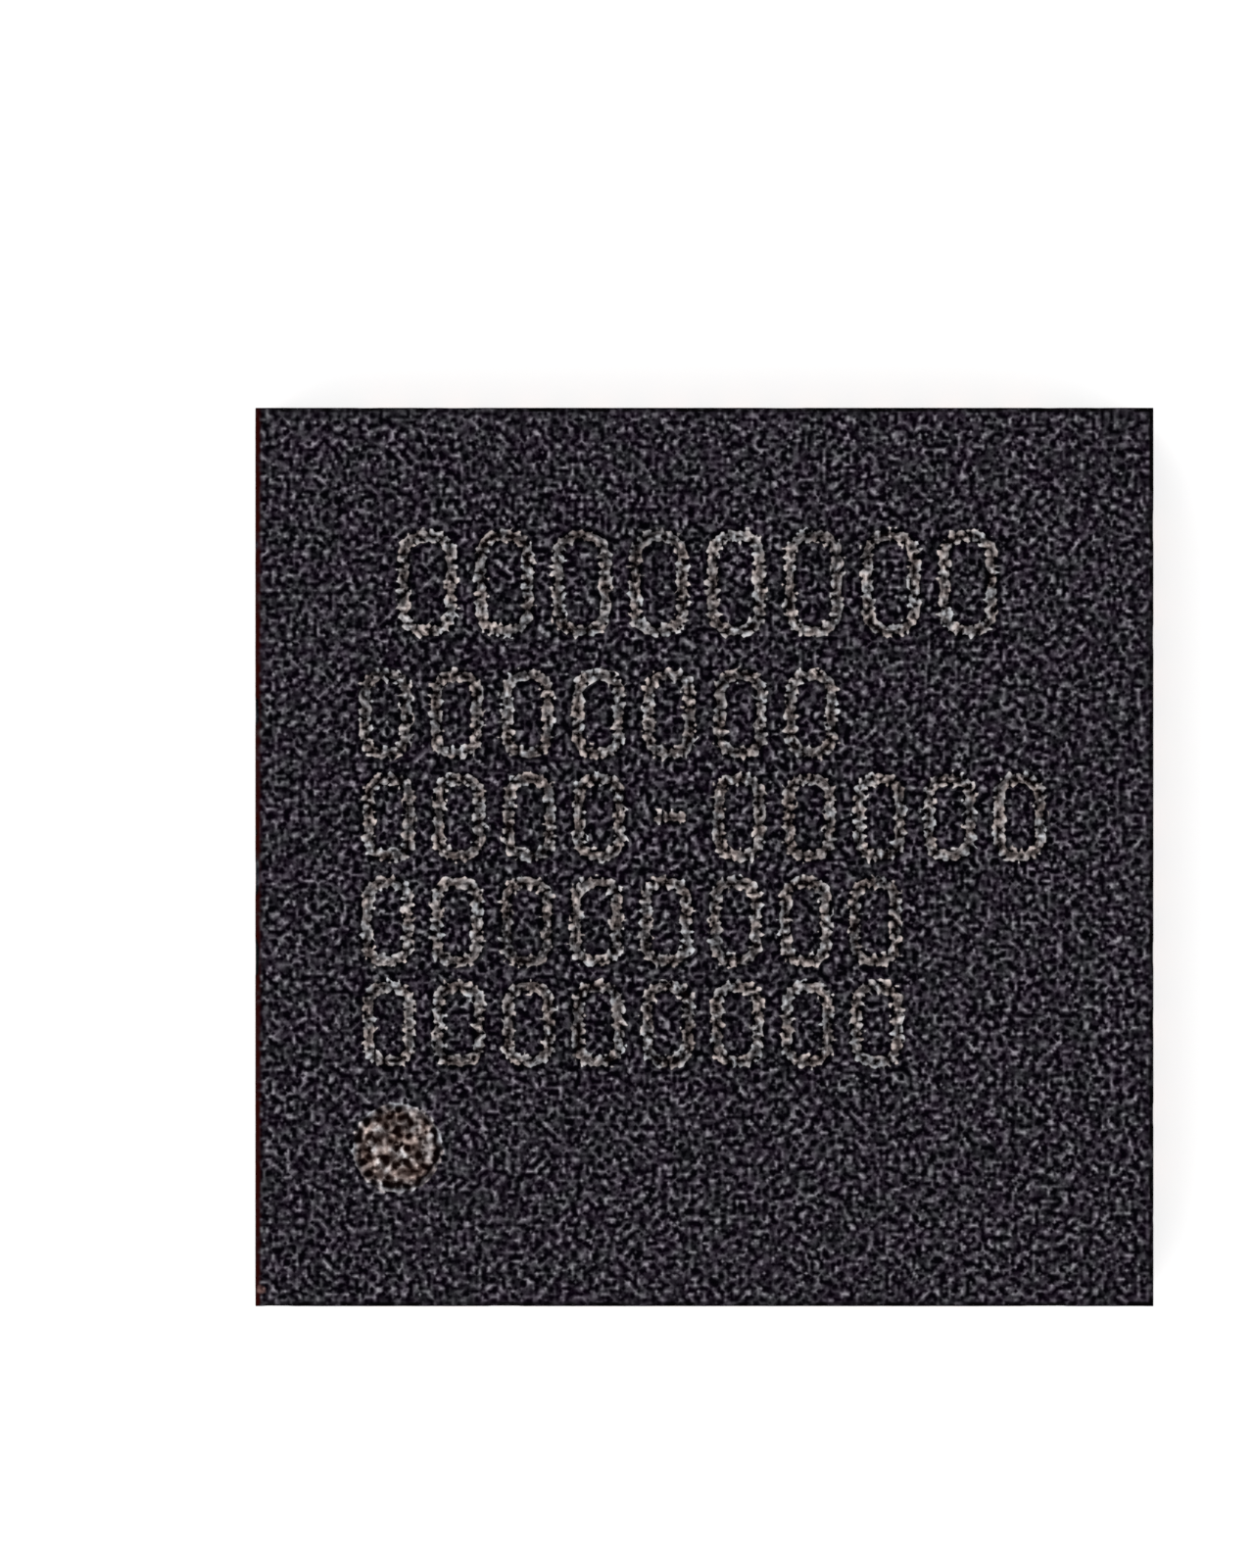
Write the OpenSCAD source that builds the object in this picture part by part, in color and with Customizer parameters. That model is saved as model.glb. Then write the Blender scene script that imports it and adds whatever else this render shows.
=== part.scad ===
// Flat no-lead chip package with bare terminals on all sides and an exposed pad, lying on them.
// Origin at the middle of the seating plane, +Z up. Pin 1 is at the -X, -Y corner, and the leads
// are numbered anticlockwise seen from above, starting along the -Y side.

/* [Package] */
// Length of the package along X
body_x = 5; // [4.5:0.1:5.5]
// Length of the package along Y
body_y = 5; // [4.5:0.1:5.5]
// Height of the package's top face above the seating plane
package_h = 0.85; // [0.7:0.05:1.1]
// How far the terminals stand out of the moulding's underside
standoff = 0.02; // [0.01:0.005:0.05]

/* [Pin 1 mark] */
// Diameter of the round mark beside pin 1
mark_d = 0.48; // [0.3:0.02:0.6]
// Depth of the mark in the top face
mark_depth = 0.015; // [0.01:0.005:0.03]
// Distance from the -X side to the middle of the mark
mark_x = 0.79; // [0.6:0.01:1]
// Distance from the -Y side to the middle of the mark
mark_y = 0.88; // [0.6:0.01:1]

/* [Leads] */
// Distance between the middles of two neighbouring leads, with as many leads as a side can hold
lead_pitch = 0.4; // [0.35:0.01:0.5]
// Least distance from a package corner to the first lead
lead_corner = 0.55; // [0.5:0.01:0.7]
// Width of a lead
lead_w = 0.2; // [0.16:0.01:0.24]
// Length of a terminal on the underside, from the package's side
lead_l = 0.4; // [0.34:0.01:0.46]
// Radius of the corners at a lead's inner end
lead_r = 0.06; // [0.03:0.01:0.07]
// Corner cut off the inner end of the first and last lead on each side
lead_cut = 0.12; // [0.1:0.01:0.13]
// How far a lead's thin inner tip reaches past its terminal
lead_tip = 0.06; // [0.04:0.01:0.08]

/* [Lead frame] */
// Thickness of the etched copper sheet
sheet_t = 0.2; // [0.15:0.01:0.25]
// Depth that is etched away under tips, rim and tie bars
etch_t = 0.1; // [0.06:0.01:0.12]
// Width of a diagonal tie bar
tie_w = 0.18; // [0.12:0.01:0.2]

/* [Die pad] */
// Gap on the underside between the terminals' inner ends and the pad
pad_gap = 0.25; // [0.2:0.01:0.35]
// Radius of the pad's corners
pad_r = 0.2; // [0.1:0.01:0.25]
// Corner cut off the pad beside pin 1
pad_cut = 0.3; // [0.26:0.01:0.4]
// Width of the thin rim around the pad, inside the moulding
pad_rim = 0.06; // [0.04:0.01:0.08]

/* [Die] */
// Width of bare pad left around the silicon die
die_margin = 0.4; // [0.3:0.01:0.5]
// Thickness of the silicon die
die_t = 0.2; // [0.15:0.01:0.24]
// Thickness of the adhesive under the die
glue_t = 0.025; // [0.015:0.005:0.04]
// Width of the adhesive's fillet around the die
glue_w = 0.07; // [0.05:0.01:0.09]
// Height that the fillet climbs up the die
glue_climb = 0.07; // [0.05:0.01:0.09]

/* [Bond wires] */
// Diameter of the wire
wire_d = 0.025; // [0.018:0.001:0.03]
// Diameter of the ball that welds a wire to the die
ball_d = 0.06; // [0.05:0.005:0.07]
// Height of that ball
ball_h = 0.02; // [0.015:0.001:0.025]
// Distance from the die's edge to the middle of a ball
ball_inset = 0.08; // [0.06:0.01:0.1]
// Distance from the die's corner to the first ball along an edge
ball_corner = 0.37; // [0.3:0.01:0.45]
// Height of a lead wire's loop above the die
loop_h = 0.13; // [0.1:0.01:0.16]
// Distance from a lead's inner tip to the middle of its wire's weld
weld_inset = 0.12; // [0.1:0.01:0.16]
// Length of the flattened weld at a wire's far end
weld_l = 0.06; // [0.05:0.005:0.07]
// Number of lead wires between a ground wire and the end of its row
ground_place = 3; // [1:1:4]
// Distance from the die's edge to the middle of a ground wire's weld
ground_reach = 0.22; // [0.18:0.01:0.26]
// Height of a ground wire's loop above the die
ground_loop_h = 0.09; // [0.08:0.005:0.1]

/* [Hidden] */
mark_facets = 64;
round_facets = 32;
wire_facets = 6;
// Overshoot of a cutter past the face that it opens
cut_over = 0.1;

pad_x = body_x - (lead_l + pad_gap) * 2;
pad_y = body_y - (lead_l + pad_gap) * 2;
die_x = pad_x - die_margin * 2;
die_y = pad_y - die_margin * 2;
die_z = sheet_t + glue_t;
die_top = die_z + die_t;

// The package's sides are front, right, back and left, numbered from 0
sides = [0, 1, 2, 3];
function side_name(s) = ["front", "right", "back", "left"][s];
// Length of a side, distance from the package's middle to it, and the same for the die
function side_length(s) = s % 2 == 0 ? body_x : body_y;
function side_edge(s) = side_length(s + 1) / 2;
function die_length(s) = s % 2 == 0 ? die_x : die_y;
function die_edge(s) = die_length(s + 1) / 2;

function side_leads(s) = floor((side_length(s) - lead_corner * 2 - lead_w) / lead_pitch) + 1;
function ball_pitch(s) = (die_length(s) - ball_corner * 2) / (side_leads(s) - 1);
// Place of the k-th of n things spread along a side, about its middle
function spread(k, n, step) = (k - (n - 1) / 2) * step;

// Each lead as its side and its place along that side, in pin order
leads = [for (s = sides) for (k = [0:side_leads(s) - 1]) [s, k]];
function lead_name(i) = str("lead_", i < 10 ? "0" : "", i);
function wires_name(s) = str("bond_wires_", side_name(s));

// Turns a side's own frame, where +X runs along the side and -Y points out of it, into place
module on_side(s) rotate([0, 0, 90 * s]) children();

// Outline of a lead from the package's side inwards, with a corner cut off at the left for
// cut = -1 and at the right for cut = 1
module lead_outline(length, cut) {
    straight = lead_w - lead_r * 2;
    difference() {
        union() {
            translate([-lead_w / 2, 0]) square([lead_w, length - lead_r]);
            translate([-straight / 2, 0]) square([straight, length]);
            for (x = [-1, 1])
                translate([x * straight / 2, length - lead_r]) circle(r = lead_r, $fn = round_facets);
        }
        if (cut != 0)
            translate([cut * lead_w / 2, length]) rotate(45) square(lead_cut * sqrt(2), center = true);
    }
}

// One lead: the whole thickness over its terminal, and half of it over the tip
module lead_form(i) {
    s = leads[i - 1][0];
    k = leads[i - 1][1];
    n = side_leads(s);
    cut = k == 0 ? -1 : k == n - 1 ? 1 : 0;
    on_side(s) translate([spread(k, n, lead_pitch), -side_edge(s), 0]) {
        linear_extrude(sheet_t) lead_outline(lead_l, cut);
        translate([0, 0, etch_t]) linear_extrude(sheet_t - etch_t) lead_outline(lead_l + lead_tip, cut);
    }
}

module lead(i) color([0.86, 0.85, 0.84]) lead_form(i);

// Outline of the pad, grown all round, with the corner beside pin 1 cut off
module pad_outline(grow) {
    x = pad_x + grow * 2;
    y = pad_y + grow * 2;
    r = pad_r + grow;
    // A 45 degree edge moves out along its own normal, so its cut grows less than the sides do
    cut = pad_cut + grow * (2 - sqrt(2));
    difference() {
        union() {
            square([x - r * 2, y], center = true);
            square([x, y - r * 2], center = true);
            for (sx = [-1, 1])
                for (sy = [-1, 1])
                    translate([sx * (x / 2 - r), sy * (y / 2 - r)]) circle(r = r, $fn = round_facets);
        }
        translate([-x / 2, -y / 2]) rotate(45) square(cut * sqrt(2), center = true);
    }
}

// Bars from the middle of the pad to the package's corners, sawn off flush with its sides
module tie_outline()
    intersection() {
        square([body_x, body_y], center = true);
        for (turn = [-1, 1])
            rotate(turn * atan2(body_y, body_x)) square([body_x + body_y, tie_w], center = true);
    }

module die_pad_form() {
    linear_extrude(sheet_t) pad_outline(0);
    translate([0, 0, etch_t]) linear_extrude(sheet_t - etch_t) {
        pad_outline(pad_rim);
        tie_outline();
    }
}

module die_pad() color([0.8, 0.79, 0.78]) die_pad_form();

module die_form()
    translate([-die_x / 2, -die_y / 2, die_z]) cube([die_x, die_y, die_t]);

module die() color([0.3, 0.32, 0.38]) die_form();

// Long bar along Y whose section is the die's width with a sloping fillet on both sides
module glue_bar(width, length) {
    foot = width / 2 + glue_w;
    // The slope runs on under the die's side, and the die is taken out of it later
    over = glue_w / 2;
    top = glue_t + glue_climb * (1 + over / glue_w);
    rotate([90, 0, 0]) linear_extrude(length, center = true)
        polygon([
            [-foot, 0],
            [foot, 0],
            [foot, glue_t],
            [width / 2 - over, top],
            [over - width / 2, top],
            [-foot, glue_t]
        ]);
}

module die_attach_form()
    translate([0, 0, sheet_t]) difference() {
        intersection() {
            glue_bar(die_x, die_y + glue_w * 4);
            rotate([0, 0, 90]) glue_bar(die_y, die_x + glue_w * 4);
        }
        translate([-die_x / 2, -die_y / 2, glue_t]) cube([die_x, die_y, die_t]);
    }

module die_attach() color([0.62, 0.62, 0.6]) die_attach_form();

// Rings of a wire that starts on the die at height 0 and is welded drop below it, run away:
// each is [distance out, height, tilt of the wire there, half width, half thickness]
function wire_rings(run, crest, drop) = let (r = wire_d / 2, fall = crest + drop) [
    [0, 0, 90, ball_d * 0.42, ball_d * 0.42],
    [0, ball_h / 2, 90, ball_d / 2, ball_d / 2],
    [0, ball_h, 90, r * 1.2, r * 1.2],
    [0, crest - wire_d * 2, 90, r, r],
    [wire_d * 1.6, crest - r, 25, r, r],
    [run * 0.45, crest - r - fall * 0.12, -atan2(fall * 0.3, run * 0.45), r, r],
    [run - weld_l * 1.1, wire_d * 1.4 - drop, -atan2(fall, run * 0.6), r, r],
    [run, -drop, -90, r * 1.4, weld_l / 2]
];

// Points of one ring, in the wire's own upright plane, where X runs out along the wire
function ring_points(ring) = [
    for (j = [0:wire_facets - 1])
        let (a = 360 * j / wire_facets, across = ring[3] * cos(a), along = ring[4] * sin(a))
            [ring[0] - along * sin(ring[2]), across, ring[1] + along * cos(ring[2])]
];

// Solid through a list of rings, closed at both ends
module wire_through(rings) {
    n = wire_facets;
    last = len(rings) - 1;
    polyhedron(
        points = [for (ring = rings) each ring_points(ring)],
        faces = concat(
            [[for (j = [0:n - 1]) j]],
            [for (i = [0:last - 1]) for (j = [0:n - 1])
                [i * n + j, (i + 1) * n + j, (i + 1) * n + (j + 1) % n, i * n + (j + 1) % n]],
            [[for (j = [n - 1:-1:0]) last * n + j]]
        )
    );
}

// Wire from a ball on the die to a weld on the copper, both given in the frame of their side
module wire(from, to, crest) {
    way = to - from;
    translate([from[0], from[1], die_top]) rotate([0, 0, atan2(way[1], way[0])])
        wire_through(wire_rings(norm(way), crest, die_top - sheet_t));
}

module lead_wires_form(s) {
    n = side_leads(s);
    on_side(s) for (k = [0:n - 1])
        wire(
            [spread(k, n, ball_pitch(s)), ball_inset - die_edge(s)],
            [spread(k, n, lead_pitch), lead_l + lead_tip - weld_inset - side_edge(s)],
            loop_h
        );
}

module lead_wires(s) color([0.85, 0.65, 0.3]) lead_wires_form(s);

// A pair of wires on each side, straight out from between two lead wires to the pad
module ground_wires_form()
    for (s = sides)
        for (turn = [-1, 1]) {
            x = turn * spread(ground_place - 0.5, side_leads(s), ball_pitch(s));
            on_side(s) wire([x, ball_inset - die_edge(s)], [x, -die_edge(s) - ground_reach], ground_loop_h);
        }

module ground_wires() color([0.85, 0.65, 0.3]) ground_wires_form();

// The block that the saw leaves, less everything that was in the mould when it was filled
module moulding() color([0.16, 0.15, 0.17]) difference() {
    translate([-body_x / 2, -body_y / 2, standoff]) cube([body_x, body_y, package_h - standoff]);
    die_pad_form();
    die_attach_form();
    die_form();
    for (i = [1:len(leads)]) lead_form(i);
    for (s = sides) lead_wires_form(s);
    ground_wires_form();
    translate([mark_x - body_x / 2, mark_y - body_y / 2, package_h - mark_depth])
        cylinder(h = mark_depth + cut_over, d = mark_d, $fn = mark_facets);
}

moulding();
die_pad();
die_attach();
die();
for (i = [1:len(leads)]) lead(i);
for (s = sides) lead_wires(s);
ground_wires();
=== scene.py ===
import math

import bmesh
import bpy
import numpy as np
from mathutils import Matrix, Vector, noise
from mathutils.geometry import delaunay_2d_cdt


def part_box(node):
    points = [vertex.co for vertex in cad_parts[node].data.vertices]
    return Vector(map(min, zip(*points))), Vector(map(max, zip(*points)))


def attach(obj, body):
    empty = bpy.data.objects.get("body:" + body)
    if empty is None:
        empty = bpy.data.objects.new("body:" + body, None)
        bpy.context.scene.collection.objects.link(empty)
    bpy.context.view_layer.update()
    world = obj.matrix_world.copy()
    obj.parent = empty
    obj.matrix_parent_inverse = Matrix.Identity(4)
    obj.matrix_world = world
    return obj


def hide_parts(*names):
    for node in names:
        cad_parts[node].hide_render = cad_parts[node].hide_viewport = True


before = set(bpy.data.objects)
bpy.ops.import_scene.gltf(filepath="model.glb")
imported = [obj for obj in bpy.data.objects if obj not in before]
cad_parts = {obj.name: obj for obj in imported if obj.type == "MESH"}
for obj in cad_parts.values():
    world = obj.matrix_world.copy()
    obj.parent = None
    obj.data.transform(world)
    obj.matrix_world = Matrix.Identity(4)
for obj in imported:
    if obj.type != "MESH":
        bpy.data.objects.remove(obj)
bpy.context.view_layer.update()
print("frame loaded with", len(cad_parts), "nodes")

mm = 0.001
micron = 0.000001
weldDistance = 0.02 * micron  # corners of one point that the frame keeps apart

bodyLow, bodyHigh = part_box("moulding")
halfBody = bodyHigh.x
topZ = bodyHigh.z
undersideZ = bodyLow.z

# Noises swing about 0.5. What a noise drives goes from end to end between two of its values
softly = (0.2, 0.8)
evenly = (0.3, 0.7)
firmly = (0.35, 0.65)


# Colours are given as they look on screen, from 0 to 255, and turned into light values
def paint(red, green, blue):
    values = []
    for screen in (red / 255, green / 255, blue / 255):
        values.append(screen / 12.92 if screen <= 0.04045 else ((screen + 0.055) / 1.055) ** 2.4)
    return (*values, 1.0)


# Nodes


def newMaterial(name, metallic=0.0, specular=0.5):
    material = bpy.data.materials.new(name)
    material.use_nodes = True
    shader = material.node_tree.nodes["Principled BSDF"]
    shader.inputs["Metallic"].default_value = metallic
    shader.inputs["Specular IOR Level"].default_value = specular
    return material, material.node_tree, shader


def addNode(tree, kind, settings=None, inputs=None):
    node = tree.nodes.new(kind)
    for key, value in (settings or {}).items():
        setattr(node, key, value)
    for key, value in (inputs or {}).items():
        if isinstance(value, bpy.types.NodeSocket):
            tree.links.new(value, node.inputs[key])
        else:
            node.inputs[key].default_value = value
    return node


# Links the given parts of a finish to a shader
def dress(tree, shader, colour=None, roughness=None, normal=None):
    for name, value in (("Base Color", colour), ("Roughness", roughness), ("Normal", normal)):
        if value is not None:
            tree.links.new(value, shader.inputs[name])


def objectPlace(tree, stretch=(1.0, 1.0, 1.0)):
    place = addNode(tree, "ShaderNodeTexCoord").outputs["Object"]
    return addNode(tree, "ShaderNodeMapping", None, {"Vector": place, "Scale": stretch}).outputs[0]


def partsOf(tree, vector):
    return addNode(tree, "ShaderNodeSeparateXYZ", None, {"Vector": vector}).outputs


def attributeNode(tree, name):
    return addNode(tree, "ShaderNodeAttribute", {"attribute_name": name}).outputs["Fac"]


# Cloudy grain from 0 to 1, whose lumps are about grainSize across
def grainNode(tree, place, grainSize, detail=0.0):
    inputs = {"Vector": place, "Scale": 1 / grainSize, "Detail": detail}
    return addNode(tree, "ShaderNodeTexNoise", None, inputs).outputs["Fac"]


def speckNode(tree, place, speckSpacing, feature="F1"):
    inputs = {"Vector": place, "Scale": 1 / speckSpacing}
    return addNode(tree, "ShaderNodeTexVoronoi", {"feature": feature}, inputs).outputs["Distance"]


def bumpNode(tree, height, distance):
    return addNode(tree, "ShaderNodeBump", None, {"Height": height, "Distance": distance}).outputs["Normal"]


def combine(tree, operation, first, second=0.0):
    return addNode(tree, "ShaderNodeMath", {"operation": operation}, {0: first, 1: second}).outputs[0]


def add(tree, first, second):
    return combine(tree, "ADD", first, second)


def multiply(tree, first, second):
    return combine(tree, "MULTIPLY", first, second)


def fade(tree, value, low, high, toLow=0.0, toHigh=1.0):
    inputs = {"Value": value, "From Min": low, "From Max": high, "To Min": toLow, "To Max": toHigh}
    return addNode(tree, "ShaderNodeMapRange", {"clamp": True}, inputs).outputs["Result"]


# A noise turned into a swing to both sides of nought
def swing(tree, value, between, most):
    return fade(tree, value, *between, -most, most)


# A band along a line, from most near it to nothing at the width, and flat for a share of the width
def bandAlong(tree, way, at, width, most, flat=0.0):
    off = combine(tree, "ABSOLUTE", combine(tree, "SUBTRACT", way, at))
    return fade(tree, off, width * flat, width, most, 0.0)


def colourBand(tree, factor, stops):
    band = addNode(tree, "ShaderNodeValToRGB", None, {"Fac": factor})
    elements = band.color_ramp.elements
    while len(elements) < len(stops):
        elements.new(0.5)
    for element, (position, colour) in zip(elements, stops):
        element.position = position
    for element, (position, colour) in zip(elements, stops):
        element.color = colour
    return band.outputs["Color"]


def twoColours(tree, value, between, colours):
    return colourBand(tree, value, list(zip(between, colours)))


def blendColours(tree, factor, first, second, method="MIX"):
    node = addNode(tree, "ShaderNodeMix", {"data_type": "RGBA", "blend_type": method})
    for key, value in (("Factor", factor), ("A", first), ("B", second)):
        socket = [s for s in node.inputs if s.name == key and s.enabled][0]
        if isinstance(value, bpy.types.NodeSocket):
            tree.links.new(value, socket)
        else:
            socket.default_value = value
    return [s for s in node.outputs if s.enabled][0]


def multiplyColours(tree, first, second):
    return blendColours(tree, 1.0, first, second, "MULTIPLY")


# How far a place is from the middle along x and along y
def waysAcross(tree, place):
    parts = partsOf(tree, place)
    return [combine(tree, "ABSOLUTE", parts[axis]) for axis in ("X", "Y")]


# How far a place is in from the nearest side
def wayIn(tree, place):
    return combine(tree, "SUBTRACT", halfBody, combine(tree, "MAXIMUM", *waysAcross(tree, place)))


# Meshes

seedShift = 37.7  # how many lump sizes one seed's stretch of noise lies from the next one's
noiseGain = 2  # because the plain noise seldom passes a half
tiny = 1e-12  # keeps a division from nought
cutSlack = 0.001  # an edge this little over a whole number of spacings isn't cut once more
fillTolerance = 1e-6
fillInside = 1  # the kind of filling that leaves out what is beyond the line


# A working copy of a node's mesh, with the points that meet made one
def copyOfNode(nodeName):
    work = bmesh.new()
    work.from_mesh(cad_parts[nodeName].data)
    bmesh.ops.remove_doubles(work, verts=work.verts, dist=weldDistance)
    return work


def makePiece(work, pieceName, nodeName, materials, sharpAngle):
    bmesh.ops.recalc_face_normals(work, faces=work.faces)
    mesh = bpy.data.meshes.new(pieceName)
    work.to_mesh(mesh)
    work.free()
    oldNormals = mesh.attributes.get("custom_normal")
    if oldNormals:
        mesh.attributes.remove(oldNormals)
    for material in materials:
        mesh.materials.append(material)
    mesh.set_sharp_from_angle(angle=math.radians(sharpAngle))
    piece = bpy.data.objects.new(pieceName, mesh)
    bpy.context.scene.collection.objects.link(piece)
    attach(piece, "root")
    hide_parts(nodeName)
    return piece


def countTriangles(piece):
    return sum(len(face.vertices) - 2 for face in piece.data.polygons)


# Smooth noise from about -1 to 1, at places in mm
def unevenness(x, y, lumpSize, seed):
    shift = seedShift * seed
    places = [Vector((a / lumpSize + shift, b / lumpSize, shift)) for a, b in zip(x.flat, y.flat)]
    return np.array([noise.noise(place) for place in places]).reshape(x.shape) * noiseGain


def smoothStep(values):
    t = np.clip(values, 0, 1)
    return t * t * (3 - 2 * t)


# From 1 inside an outline to 0 outside it, over one cell
def insideStep(away, cell):
    return smoothStep(0.5 - away / cell)


# A square of lumps, lumpSize from one to the next, with 1 as their usual height above or below 0
def lumpyGrain(count, cell, lumpSize, spread, seed):
    even = np.random.default_rng(seed).standard_normal((count, count))
    waves = np.fft.fftfreq(count, cell)
    pitch = np.hypot(waves[:, None], waves[None]) * lumpSize
    kept = np.exp(-(((pitch - 1) / spread) ** 2) / 2)
    lumps = np.fft.ifft2(np.fft.fft2(even) * kept).real
    return lumps / lumps.std()


# The points of a flat ring of edges in order, anticlockwise in the two given coordinates
def orderedLoop(edges, first=0, second=1):
    links = {}
    for edge in edges:
        for vert in edge.verts:
            links.setdefault(vert, []).append(edge.other_vert(vert))
    start = edges[0].verts[0]
    loop, before, now = [start], None, start
    while True:
        after = [v for v in links[now] if v is not before][0]
        if after is start:
            break
        loop.append(after)
        before, now = now, after
    pairs = zip(loop, loop[1:] + loop[:1])
    area = sum(a.co[first] * b.co[second] - b.co[first] * a.co[second] for a, b in pairs)
    return loop if area > 0 else loop[::-1]


# Says which points lie inside a closed line by more than a margin, and how far each is from it
def insideLine(points, line, margin):
    inside = np.zeros(len(points), bool)
    nearest = np.full(len(points), np.inf)
    for a, b in zip(line, np.roll(line, -1, axis=0)):
        crosses = (a[1] > points[:, 1]) != (b[1] > points[:, 1])
        if a[1] != b[1]:
            at = a[0] + (points[:, 1] - a[1]) * (b[0] - a[0]) / (b[1] - a[1])
            inside ^= crosses & (points[:, 0] < at)
        along = b - a
        t = np.clip(((points - a) @ along) / max(along @ along, tiny), 0, 1)
        gap = points - a - t[:, None] * along
        nearest = np.minimum(nearest, np.hypot(gap[:, 0], gap[:, 1]))
    return inside & (nearest > margin), nearest


# Fills a closed line with triangles that use the inner points too. Both are places in mm
def fillLine(work, ring, line, inner, points):
    coordinates = [Vector(p) for p in (*line, *points)]
    edges = [(k, (k + 1) % len(line)) for k in range(len(line))]
    found = delaunay_2d_cdt(coordinates, edges, [], fillInside, fillTolerance)
    if len(found[0]) != len(coordinates):
        raise RuntimeError("a filled face gained or lost points")
    verts = ring + inner
    return [work.faces.new([verts[found[3][k][0]] for k in triangle]) for triangle in found[2]]


# Finishes of the moulding compound

# Tones run from the deepest pits of the grain to its highest lumps, in even steps, and a cast is
# added to each tone's red, green and blue. This is partly the compound's own speckle and partly
# painted light: painted shade in the pits and painted sheen on the lumps. The mesh's points keep
# their ways to the marks in mm, so what is measured along these ways is in mm too
compoundLook = {
    "tones": (0, 6, 36, 73, 114, 158),
    "casts": ((1.4, -5.2, 4.6), (-1.0, -1.7, 2.6)),  # mauve and grey, in patches
    "castPatch": 0.17 * mm,
    "fineGrain": 0.016 * mm,
    "fineLift": 0.07,  # how much the fine grain adds to the coarse one
    "specular": 0.02,
    "roughAt": (0.1, 0.9),
    "roughness": (0.8, 0.55),  # of the pits, and of the lumps
    "bump": 1.5 * micron,
    # The strokes
    "markTones": (0, 10, 83, 147, 192, 220),
    "markCast": (4.3, -1.1, -1.1),
    "tints": ((1.08, 0.985, 0.94, 1), (0.93, 1.01, 1.06, 1)),  # warm and cool, on the dot too
    "tintPatch": 0.09 * mm,
    "halfStroke": 0.037,
    "strokeLumps": 0.020,  # how far the lumps push the edge in and out
    "crumbs": 0.25,  # how far the fine grain does, as a share of that
    "strokeSoft": 0.010,
    "strokeGrain": 0.94,
    "ridgeRise": (0.25, 0.8),  # from the pits in the middle to the pale ridges, as shares of halfStroke
    "pitLevel": -0.05,
    "ridgeLevel": 0.175,
    "strokePatch": 0.38 * mm,  # of the stretches that the laser has burnt paler or darker
    "strokeUneven": 0.09,
    "sootWidth": 0.022,
    "soot": 0.3,  # how much of the colour the soot leaves
    "sootHalo": (0.05, 0.2),  # where the deeper pits round the strokes begin to fade, and end
    "haloDepth": 0.19,
    "haloPivot": 0.62,  # the tone that stays as it is
    # The pin 1 dot. A way to its edge is below nought inside it
    "dotTones": (0, 14, 72, 142, 208, 246),
    "dotCast": (9, -3, -6),
    "dotLumps": 0.010,
    "dotPit": 0.062 * mm,
    "bendSize": 0.7,  # of what bends the pits out of round, as a share of a pit
    "bendMost": 0.35,
    "veinRise": (0.1, 0.9),  # from the middle of a pit to the veins round it
    "dotLevel": -0.105,
    "dotVeins": 0.6,
    "dotGrain": 0.52,
    "rimCast": (3, -1.5, 0.5),
    "rimStart": -0.05,  # where its cast begins to show
    "rimPaler": 0.07,
    "rimAt": 0.006,
    "rimWidth": 0.011,
    "ringDarker": 0.2,
    "ringAt": -0.018,
    "ringWidth": 0.024,
    # The edges of the top
    "edgeLine": 0.026 * mm,  # width of the dark line painted round the top, as painted shade where its worn edge drops away
    "lineFull": 0.75,  # it is full up to this share of its width
    "lineBreaks": (0.4, 0.6),  # the patches' values where it is broken, and where it is whole
    "lineLeast": 0.45,
    # The colour of the painted edge shade
    "edgeShadeColour": (3, 2, 3),
    "innerShadeReach": (0.9, 1.35),  # where the painted inner shade begins to fade, and ends, in widths of the line
    "innerShadeDepth": 0.35,  # how dark the painted shade turns the face just inside that line
    "calmWidth": 0.065 * mm,
    "calmPivot": 0.42,
    "edgeCalm": 0.3,  # how much flatter the grain is there
    "fringeReach": (1.7, 0.66),  # where the painted fringe begins, and is full, in widths of the line
    "fringeFall": 2.0,
    "rimPatch": 0.11 * mm,
    "fringeBreaks": (0.35, 0.6),
    "fringeLeast": 0.7,
    "fringeLevel": (0.75, 0.95),  # how level the face is where the painted fringe holds, so not in the chips
    "leftFringeColour": (45, 4, 1),  # the dark red line painted along the left edge, a fringe of the light that side catches
    "cornerSpot": (-2.462, -2.405),  # a pale pinkish spot at the lower left corner, in mm from the middle
    "spotSize": 0.032 * mm,
    "spotFull": 0.4,  # it is full up to this share of its size
    "spotBend": 0.012 * mm,
    "spotMost": 0.7,
    "spotLumps": (0.2, 0.6),
    "spotLeast": 0.2,
    "spotColour": (176, 134, 126),
}


def toneBand(tree, grain, tones, cast):
    stops = []
    for step, tone in enumerate(tones):
        colour = paint(*[min(max(tone + shift, 0), 255) for shift in cast])
        stops.append((step / (len(tones) - 1), colour))
    return colourBand(tree, grain, stops)


# Makes the grain's pits and lumps deeper or flatter about one tone
def spreadGrain(tree, grain, middle, factor):
    off = multiply(tree, combine(tree, "SUBTRACT", grain, middle), factor)
    return add(tree, off, middle)


# The way to an edge, moved in and out by the lumps that lie along it, and a little by crumbs
def raggedWay(tree, look, way, grain, fine, most):
    lumps = fade(tree, grain, 0.0, 1.0, most, -most)
    crumbs = swing(tree, fine, softly, most * look["crumbs"])
    return add(tree, add(tree, way, lumps), crumbs)


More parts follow.
